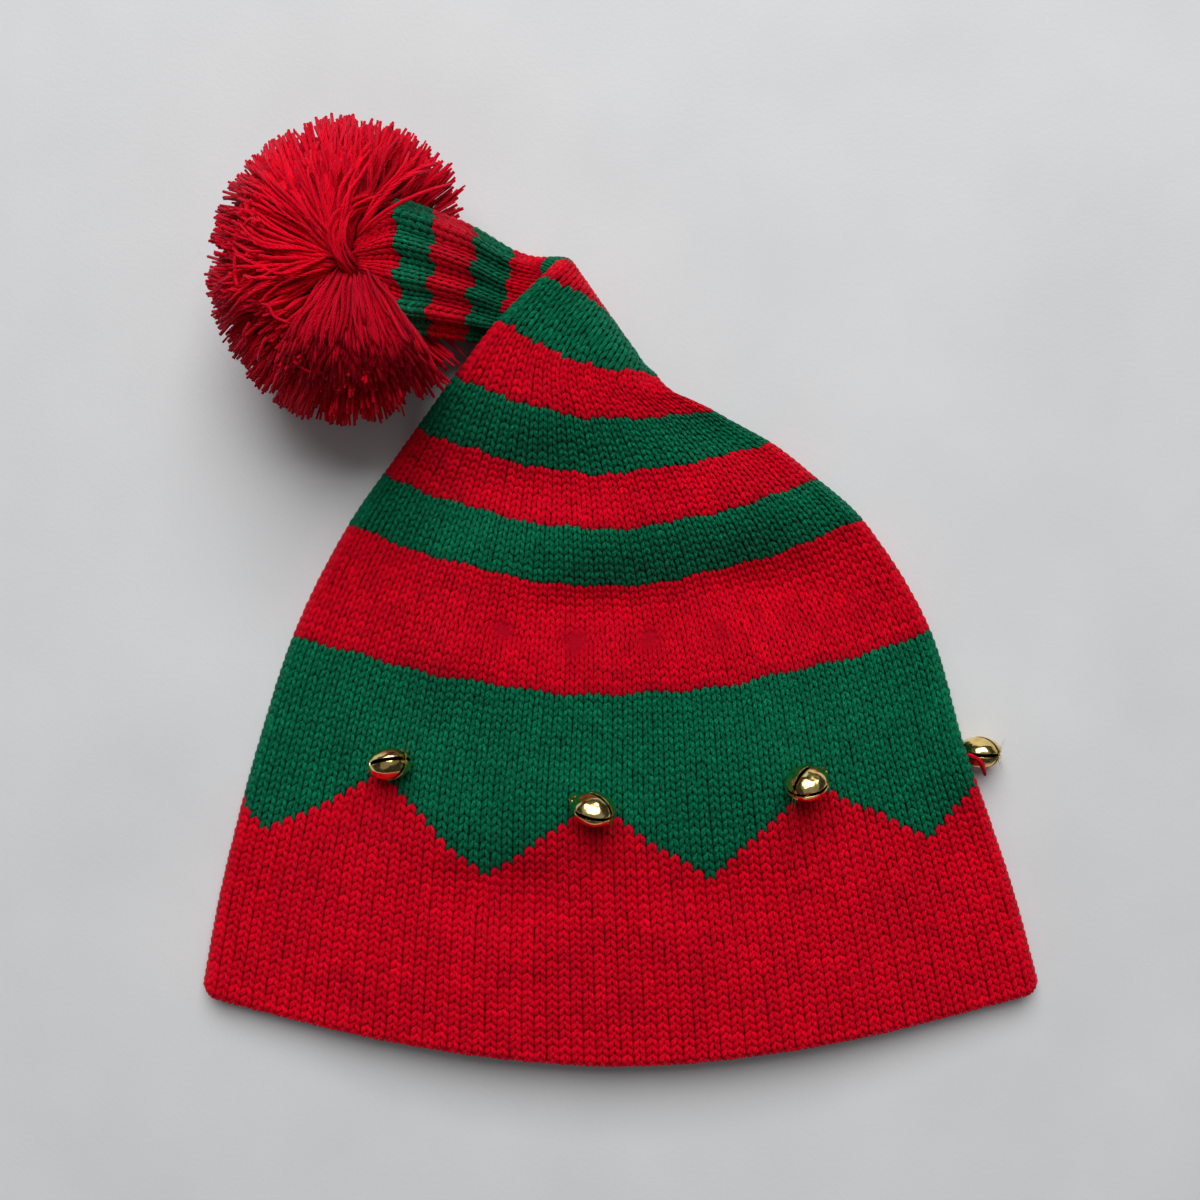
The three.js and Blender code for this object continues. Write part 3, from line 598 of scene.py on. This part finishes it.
tailRoom = {                               # where the pompom has no strands: rings of the tail, and the crown
    "rows": (118, 157, 2.0), "around": 24, "margin": 0.5, "half": 2.6,
    "besideFold": 1.5, "crownHeight": 21, "crownEnd": 203,
    "tested": (0.15, 1, 12),               # places along a strand
}
upward = np.array((0, 0, 1.0))


def strandTemplate(sides, lengths):
    bm = bmesh.new()
    uvLayer = bm.loops.layers.uv.new("yarn")
    bmesh.ops.create_cone(bm, cap_ends=True, segments=sides, radius1=1, radius2=1, depth=1)
    bmesh.ops.translate(bm, verts=bm.verts, vec=(0, 0, 0.5))
    for cut in range(1, lengths):
        cutAcross(bm, (0, 0, cut / lengths), (0, 0, 1))
    for face in bm.faces:
        turns = [math.atan2(loop.vert.co.y, loop.vert.co.x) / (2 * math.pi) for loop in face.loops]
        wraps = max(turns) - min(turns) > 0.5
        for loop, turned in zip(face.loops, turns):
            loop[uvLayer].uv = (turned + (1 if wraps and turned < 0 else 0), loop.vert.co.z)
    return templateOf(bm)


def unit(vectors):
    return vectors / np.maximum(np.linalg.norm(vectors, axis=-1, keepdims=True), 1e-9)


def scatter(count, size):
    return size * chance.standard_normal((count, 3))


def curveAt(controls, t):
    a, b, c, d = (controls[:, i, None, :] for i in range(4))
    t = t[None, :, None]
    return (1 - t) ** 3 * a + 3 * (1 - t) ** 2 * t * b + 3 * (1 - t) * t ** 2 * c + t ** 3 * d


def strandsAlong(template, controls, tone, rootShade, crimp):
    count = len(controls)
    levels = np.unique(np.round(template["co"][:, 2], 4))
    level = np.searchsorted(levels, np.round(template["co"][:, 2], 4))
    path = curveAt(controls, levels)
    sway = unit(scatter(count, 1.0))[:, None, :]
    phase = chance.random((count, 1, 1)) * 2 * math.pi
    along = levels[None, :, None]
    path = path + crimp * sway * np.sin(along * pile["crimpTurns"] + phase) * along
    path[:, :, 2] = np.maximum(path[:, :, 2], pile["floor"] * (1 + chance.random((count, 1))))
    tangent = unit(np.gradient(path, axis=1))
    side = unit(np.cross(tangent, unit(scatter(count, 1.0))[:, None, :]))
    other = np.cross(tangent, side)
    thick = pile["thick"] * (1 + pile["thickSpread"] * chance.standard_normal((count, 1)))
    size = thick * np.interp(levels, *pile["taper"])[level][None, :]
    x, y = template["co"][:, 0], template["co"][:, 1]
    points = path[:, level] + side[:, level] * (x * size)[..., None] + other[:, level] * (y * size)[..., None]
    # strands painted darker towards their roots, as shade inside the pile
    shade = np.interp(levels, [0, 0.5, 1], [rootShade, 0.5 + 0.5 * rootShade, 1])[level]
    return copies(template, points, tone[:, None] * shade[None, :])


def inTail(points):
    # true where a point lies in the tail or in the crown beside the pompom
    inside = np.zeros(points.shape[:-1], bool)
    around = tailRoom["around"]
    for row in np.arange(*tailRoom["rows"]):
        ring = tubePoint(np.full(around, row), np.arange(around) / around, np.zeros(around))
        middle = ring.mean(axis=0)
        axes = np.linalg.svd(ring - middle)[2]
        reach = np.abs((ring - middle) @ axes.T).max(axis=0)
        local = np.abs((points - middle) @ axes.T)
        within = ((local[..., :2] / (reach[:2] + tailRoom["margin"])) ** 2).sum(axis=-1) < 1
        inside |= within & (local[..., 2] < tailRoom["half"])
    x, y, z = np.moveaxis(points, -1, 0)
    rows = np.interp(y, tube["outline"]["leftY"], tube["outline"]["row"])
    foldX = tableColumn(tube["outline"], "leftX", rows)
    belowCrown = (z < tailRoom["crownHeight"]) & (y < tailRoom["crownEnd"])
    return inside | ((x > foldX - tailRoom["besideFold"]) & belowCrown)


def onSphere(turned, z):
    ring = np.sqrt(1 - z * z)
    return np.stack([ring * np.cos(turned), ring * np.sin(turned), z], axis=1)


def ballOf(count, lowest, highest):
    index = np.arange(count) + 0.5
    z = lowest + (highest - lowest) * index / count
    return onSphere(index * math.pi * (3 - math.sqrt(5)), z)


def fanOf(fan):
    turned = np.radians(fan["from"] + (fan["to"] - fan["from"]) * chance.random(fan["count"]))
    return onSphere(turned, fan["low"] + (fan["high"] - fan["low"]) * chance.random(fan["count"]))


def intoLocks(ways):
    # ends drawn into locks, and for each strand its length, tone and the sideways bend and lift of its lock
    count = pile["locks"]
    spread = pile["lengthSpread"]
    toneSpread = pile["toneSpread"]
    centres = unit(ballOf(count, -1, 1) + scatter(count, pile["lockStray"]))
    lock = np.argmax(ways @ centres.T, axis=1)
    drawn = unit(ways + pile["gather"] * (centres[lock] - ways) + scatter(len(ways), pile["endStray"]))
    lockLong = 1 + spread * chance.standard_normal(count)
    lockTone = 1 + toneSpread * chance.standard_normal(count)
    reach = np.minimum(lockLong[lock] * (1 + spread * chance.standard_normal(len(ways))), pile["longest"])
    tone = lockTone[lock] * (1 + toneSpread * chance.standard_normal(len(ways)))
    sway = chance.standard_normal((count, 2))[lock]
    return drawn, reach[:, None], tone, sway


def ballStrands(middle, radii):
    ball = pile["ball"]
    drawn, reach, tone = intoLocks(ballOf(ball["count"], ball["low"], ball["high"]))[:3]
    ends = middle + radii * drawn * reach
    roots = middle + radii * drawn * ball["from"]
    near, far = ball["bends"]
    third = ends - (ends - roots) * far + scatter(len(drawn), ball["stray"])
    return np.stack([roots, roots + (ends - roots) * near, third, ends], axis=1), tone


def fanStrands(fan, middle, radii, tie):
    comb = pile["comb"]
    count = fan["count"]
    drawn, reach, tone, sway = intoLocks(fanOf(fan))
    ends = middle + radii * drawn * reach
    flat = unit((ends - tie) * (1, 1, 0))
    aside = np.stack([-flat[:, 1], flat[:, 0], 0 * flat[:, 0]], axis=1)
    span = np.linalg.norm((ends - tie)[:, :2], axis=1)[:, None]
    lockLift, lockAside, high = sway[:, :1], sway[:, 1:], drawn[:, 2:]
    roots = tie + np.array(fan["root"]) + flat * comb["rootOut"] + scatter(count, comb["rootStray"])
    near, far = comb["near"], comb["far"]
    rise = fan["rise"] + near["high"] * high + near["lift"] * lockLift + chance.standard_normal((count, 1))
    second = roots + flat * span * near["along"] + upward * rise + aside * near["aside"] * lockAside
    fall = far["up"] + far["high"] * high + far["lift"] * lockLift
    third = ends - flat * span * far["along"] + upward * fall + aside * far["aside"] * lockAside
    return np.stack([roots, second, third + scatter(count, comb["stray"]), ends], axis=1), tone


def skirtStrands(middle, radii, tie):
    skirt = pile["skirt"]
    count = skirt["count"]
    share = chance.random((count, 1))
    turned = np.radians(skirt["from"] + (skirt["to"] - skirt["from"]) * share)
    flat = np.concatenate([np.cos(turned), np.sin(turned), 0 * turned], axis=1)
    start = tie + np.array(skirt["root"]) + scatter(count, skirt["rootStray"])
    start[:, 0] += (share[:, 0] - 0.5) * skirt["wide"]
    slow, fast = skirt["waves"]
    lock = np.sin(share * slow) + np.sin(share * fast + 1)
    uneven = skirt["longSpread"] * chance.standard_normal((count, 1))
    long = skirt["long"] * (1 + skirt["lockSpread"] * lock + uneven)
    ends = start + flat * long
    onBall = 1 - (((ends - middle) / radii)[:, :2] ** 2).sum(axis=1)
    layer = chance.random((count, 1))
    dome = radii[2] * np.sqrt(np.maximum(onBall, skirt["least"])) * skirt["dome"]
    ends[:, 2] = middle[2] + dome + skirt["over"] + skirt["layers"] * layer[:, 0]
    near, far = skirt["near"], skirt["far"]
    second = start + flat * long * near["along"] + upward * (near["up"] + near["layer"] * layer)
    rise = far["up"] + far["layer"] * layer + far["lock"] * lock
    third = ends - flat * long * far["along"] + upward * rise + scatter(count, skirt["stray"])
    spread = skirt["toneSpread"]
    # skirt strands painted darker as shade, with random tone by lock and strand
    tone = skirt["tone"] * (1 + spread * lock[:, 0] + spread * chance.standard_normal(count))
    return np.stack([start, second, third, ends], axis=1), tone


def collarStrands():
    collar = pile["collar"]
    count = collar["count"]
    controls = np.array([collar["path"]] * count) + scatter(count, collar["stray"])[:, None, :]
    controls = controls + collar["spread"] * chance.standard_normal(controls.shape)
    return controls, 1 + collar["toneSpread"] * chance.standard_normal(count)


def looseStrands(middle, radii):
    loose = pile["loose"]
    drawn = fanOf(loose)
    start = middle + radii * drawn * loose["out"]
    along = unit(np.cross(drawn, scatter(loose["count"], 1.0)))
    lifted = unit(start - middle) * loose["lift"]
    near, far, end = loose["steps"]
    controls = [start, start + along * near + lifted, start + along * far + lifted, start + along * end]
    return np.stack(controls, axis=1), np.ones(loose["count"])


def heartOf(middle, radii):
    heart = pile["heart"]
    bm = bmesh.new()
    bm.loops.layers.uv.new("yarn")
    bmesh.ops.create_icosphere(bm, subdivisions=3, radius=1)
    centre = Vector(middle) + Vector(heart["shift"])
    turnX, turnY, turnZ = heart["turns"]
    for vert in bm.verts:
        x, y, z = vert.co
        size = heart["size"] + heart["lump"] * math.sin(turnX * x) * math.sin(turnY * y + turnZ * z)
        vert.co = centre + Vector(a * b * size for a, b in zip((x, y, z), radii))
    made = templateOf(bm)
    # the heart is painted dark as shade
    made["tone"] = np.full(len(made["co"]), heart["tone"])
    return made


def makePompom():
    middle, radii, tie = (np.array(pile[name]) for name in ("middle", "radii", "tie"))
    shortStrand, longStrand = strandTemplate(*pile["short"]), strandTemplate(*pile["long"])

    def clear(group):
        controls, tone = group
        keep = ~inTail(curveAt(controls, np.linspace(*tailRoom["tested"]))).any(axis=1)
        return controls[keep], tone[keep]
    ball = clear(ballStrands(middle, radii))
    fans = [clear(fanStrands(fan, middle, radii, tie)) for fan in pile["fans"]]
    others = [skirtStrands(middle, radii, tie), collarStrands(), looseStrands(middle, radii)]
    rootShade = pile["rootShade"]
    parts = [heartOf(middle, radii), strandsAlong(shortStrand, *ball, rootShade, pile["shortCrimp"])]
    joined("pompom_pile", parts, redPile, ["pompom"])
    combed = [strandsAlong(longStrand, *group, rootShade, pile["longCrimp"]) for group in fans + others]
    joined("pompom_strands", combed, redPile, ["pompom"])
    print("pompom made:", len(ball[0]), "pile strands and", sum(len(f[0]) for f in fans), "combed ones")


makePompom()


# bells
bell = {
    "radius": 6.2, "wall": 0.6, "flat": 0.72,      # share of the radius across the pressed sides
    "slot": 1.0, "slotStart": -2.0, "rim": 0.16,
    "loop": 1.6, "wire": 0.45, "wireSides": 10, "loopSteps": 24,
    "sides": 40, "rings": 24, "rimAngle": 60, "sharpAngle": 40,    # degrees
    "seatGap": 0.35, "floorGap": 0.1,
    "low": (0.82, 0.52, 0.14), "high": (1.0, 0.80, 0.34), "ends": (0.3, 0.62), "rough": (0.1, 0.24),
    "tarnish": (420.0, 4.0), "dents": (190.0, 1.5), "dentBump": (0.6, 0.002),        # scale and detail, bump
    "insideShade": 0.04,                            # inside painted nearly black, as shade in the hollow
    "seats": [                             # stitch and row, or beside the fold, and the way the slots face
        {"wale": 14.8, "row": 34.3, "sink": 0.12, "pole": (0.76, 0.3, 0.57)},
        {"wale": 33, "row": 32.5, "sink": 0.15, "pole": (0.8, -0.35, 0.5)},
        {"wale": 52.5, "row": 33.5, "sink": 1.15, "pole": (-0.66, -0.45, 0.6)},
        {"beside": True, "pole": (0.7, -0.08, 0.7)},
    ],
}


def bellFinish():
    material, shader, add, link = newFinish("bell_metal")
    tarnish = noise(add, link, *bell["tarnish"])
    colour = twoTone(add, link, tarnish, bell["ends"], bell["low"], bell["high"])
    # colour times the tone attribute, which paints the inside dark as shade
    tone = add("ShaderNodeAttribute", attribute_name="tone")
    link(scaled(add, link, colour, tone.outputs["Fac"]), shader.inputs["Base Color"])
    polished, dull = bell["rough"]
    rough = add("ShaderNodeMapRange", **{"To Min": polished, "To Max": dull})
    link(tarnish, rough.inputs["Value"])
    link(rough.outputs["Result"], shader.inputs["Roughness"])
    bumped(add, link, shader, noise(add, link, *bell["dents"]), *bell["dentBump"])
    shader.inputs["Metallic"].default_value = 1.0
    return material


def bellMiddle(seat):
    if "beside" in seat:
        return np.array([tube["beside"]["x"], tube["beside"]["y"], bell["radius"] + bell["floorGap"]])
    share, row = seat["wale"] / tube["wales"], seat["row"]
    step = 1 / tube["wales"]
    shares = np.array([share + step, share - step, share, share])
    right, left, above, below = tubePoint(np.array([row, row, row + 1, row - 1]), shares, 0.0)
    normal = unit(np.cross(right - left, above - below))
    return tubePoint(row, share, 0.0) + normal * (bell["radius"] + bell["seatGap"] - seat["sink"])


def cutSlots(bm):
    half = bell["slot"] / 2
    for way in ((1, 0, 0), (0, 1, 0)):
        for side in (-half, half):
            cutAcross(bm, Vector(way) * side, way)
    cutAcross(bm, (0, 0, bell["slotStart"]), (0, 0, 1))
    slots = []
    for face in bm.faces:
        centre = face.calc_center_median()
        if centre.z > bell["slotStart"] and min(abs(centre.x), abs(centre.y)) < half - 1e-3:
            slots.append(face)
    bmesh.ops.delete(bm, geom=slots, context="FACES")


def addLoop(bm):
    # sewing loop, spun round the middle and then moved to the end across from the slots
    place = Matrix.Translation((bell["loop"], 0, 0)) @ Matrix.Rotation(math.pi / 2, 4, "X")
    ring = bmesh.ops.create_circle(bm, segments=bell["wireSides"], radius=bell["wire"], matrix=place)
    wire = ring["verts"] + list({e for v in ring["verts"] for e in v.link_edges})
    bmesh.ops.spin(bm, geom=wire, cent=(0, 0, 0), axis=(0, 0, 1), angle=2 * math.pi, steps=bell["loopSteps"],
                   use_merge=True)
    reach = bell["loop"] + bell["wire"] + 0.01
    verts = [v for v in bm.verts if abs(v.co.z) <= bell["wire"] + 1e-4 and math.hypot(v.co.x, v.co.y) < reach]
    bmesh.ops.rotate(bm, verts=verts, cent=(0, 0, 0), matrix=Matrix.Rotation(math.pi / 2, 3, "X"))
    bmesh.ops.translate(bm, verts=verts, vec=(0, 0, -bell["radius"]))
    bmesh.ops.recalc_face_normals(bm, faces=list({f for v in verts for f in v.link_faces}))
    return verts


def makeBell(number, seat, material):
    bm = bmesh.new()
    bmesh.ops.create_uvsphere(bm, u_segments=bell["sides"], v_segments=bell["rings"], radius=bell["radius"])
    bmesh.ops.scale(bm, verts=bm.verts, vec=(1, bell["flat"], 1))
    cutSlots(bm)
    bmesh.ops.recalc_face_normals(bm, faces=bm.faces)
    bmesh.ops.solidify(bm, geom=bm.faces[:], thickness=bell["wall"])
    steep = math.radians(bell["rimAngle"])
    rims = [e for e in bm.edges if len(e.link_faces) == 2 and e.calc_face_angle() > steep]
    bmesh.ops.bevel(bm, geom=rims, offset=bell["rim"], offset_type="OFFSET", affect="EDGES", segments=2,
                    profile=0.5, material=-1)
    # the outside keeps the metal's colour, the inside is painted dark as shade
    tone = bm.verts.layers.float.new("tone")
    for vert in bm.verts:
        reach = Vector((vert.co.x, vert.co.y / bell["flat"], vert.co.z)).length
        vert[tone] = 1 if reach > bell["radius"] - bell["wall"] / 2 else bell["insideShade"]
    for vert in addLoop(bm):
        vert[tone] = 1
    turn = Vector((0, 0, 1)).rotation_difference(Vector(seat["pole"]).normalized())
    bmesh.ops.rotate(bm, verts=bm.verts, cent=(0, 0, 0), matrix=turn.to_matrix())
    bmesh.ops.translate(bm, verts=bm.verts, vec=bellMiddle(seat))
    bmesh.ops.scale(bm, verts=bm.verts, vec=(mm, mm, mm))
    mesh = bpy.data.meshes.new(f"bell_{number}_shell")
    bm.to_mesh(mesh)
    bm.free()
    placed(f"bell_{number}_shell", mesh, material, [f"bell_{number}"])
    mesh.set_sharp_from_angle(angle=math.radians(bell["sharpAngle"]))


bellMetal = bellFinish()
for number, seat in enumerate(bell["seats"], 1):
    makeBell(number, seat, bellMetal)
print("bells made:", len(bell["seats"]))

thread = {
    "path": [(98.5, 66.0, 12.5), (101.0, 65.5, 13.5), (103.0, 63.5, 13.0), (104.2, 59.8, 9.5)],
    "count": 3, "stray": 0.3, "crimp": 0.2,
}


def makeThread():
    # loose ends of the red sewing thread, in view on the bell beside the fold
    count = thread["count"]
    controls = np.array([thread["path"]] * count) + scatter(count, thread["stray"])[:, None, :]
    parts = [strandsAlong(strandTemplate(*pile["long"]), controls, np.ones(count), 1.0, thread["crimp"])]
    joined("bell_4_thread", parts, redYarn)


makeThread()
print("thread made")


# floor, light and camera
studio = {
    "floor": 3.0, "floorHeight": -0.0002, "floorLow": (0.65, 0.66, 0.67), "floorHigh": (0.71, 0.715, 0.725),
    "mottle": (18.0, 5.0), "mottleEnds": (0.3, 0.7), "grain": (900.0, 3.0), "grainBump": (0.12, 0.0004),
    "floorRoughness": 0.55,
    "window": (0.0, 1.78, 2.12), "windowSize": 2.1, "windowPower": 82.0,
    "ceiling": (0.0, 0.1, 1.9), "ceilingSize": 3.6, "ceilingPower": 7.0,
    "aim": (0, 0.1, 0), "world": 0.03, "sky": (0.92, 0.96, 1.0),
    "camera": (-0.006, 0.110, 0.481), "sensor": 36,
    "focal": 1648.5, "picture": 1200,      # in pixels
}


def makeFloor():
    material, shader, add, link = newFinish("floor_paint")
    mottle = noise(add, link, *studio["mottle"])
    colour = twoTone(add, link, mottle, studio["mottleEnds"], studio["floorLow"], studio["floorHigh"])
    link(colour, shader.inputs["Base Color"])
    bumped(add, link, shader, noise(add, link, *studio["grain"]), *studio["grainBump"])
    shader.inputs["Roughness"].default_value = studio["floorRoughness"]
    bm = bmesh.new()
    bmesh.ops.create_grid(bm, x_segments=4, y_segments=4, size=studio["floor"])
    bmesh.ops.translate(bm, verts=bm.verts, vec=(0, 0, studio["floorHeight"]))
    mesh = bpy.data.meshes.new("floor")
    bm.to_mesh(mesh)
    bm.free()
    mesh.materials.append(material)
    floor = bpy.data.objects.new("floor", mesh)
    scene.collection.objects.link(floor)


def softLamp(name):
    panel = bpy.data.lights.new(name, "AREA")
    panel.shape = "SQUARE"
    panel.size = studio[name + "Size"]
    panel.energy = studio[name + "Power"]
    lamp = bpy.data.objects.new(name, panel)
    lamp.location = studio[name]
    aim = Vector(studio["aim"]) - Vector(studio[name])
    lamp.rotation_euler = aim.to_track_quat("-Z", "Y").to_euler()
    lamp.visible_camera = False
    scene.collection.objects.link(lamp)


def makeLight():
    softLamp("window")
    softLamp("ceiling")
    world = bpy.data.worlds.new("studio")
    world.use_nodes = True
    sky = world.node_tree.nodes["Background"].inputs
    sky["Color"].default_value = (*studio["sky"], 1)
    sky["Strength"].default_value = studio["world"]
    scene.world = world


def makeCamera():
    lens = bpy.data.cameras.new("photo_view")
    lens.sensor_width = studio["sensor"]
    lens.lens = studio["sensor"] * studio["focal"] / studio["picture"]
    lens.clip_start = 0.01
    camera = bpy.data.objects.new("photo_view", lens)
    camera.location = studio["camera"]
    scene.collection.objects.link(camera)
    scene.camera = camera


makeFloor()
makeLight()
makeCamera()
scene.view_settings.view_transform = "Standard"
print("floor, light and camera made")
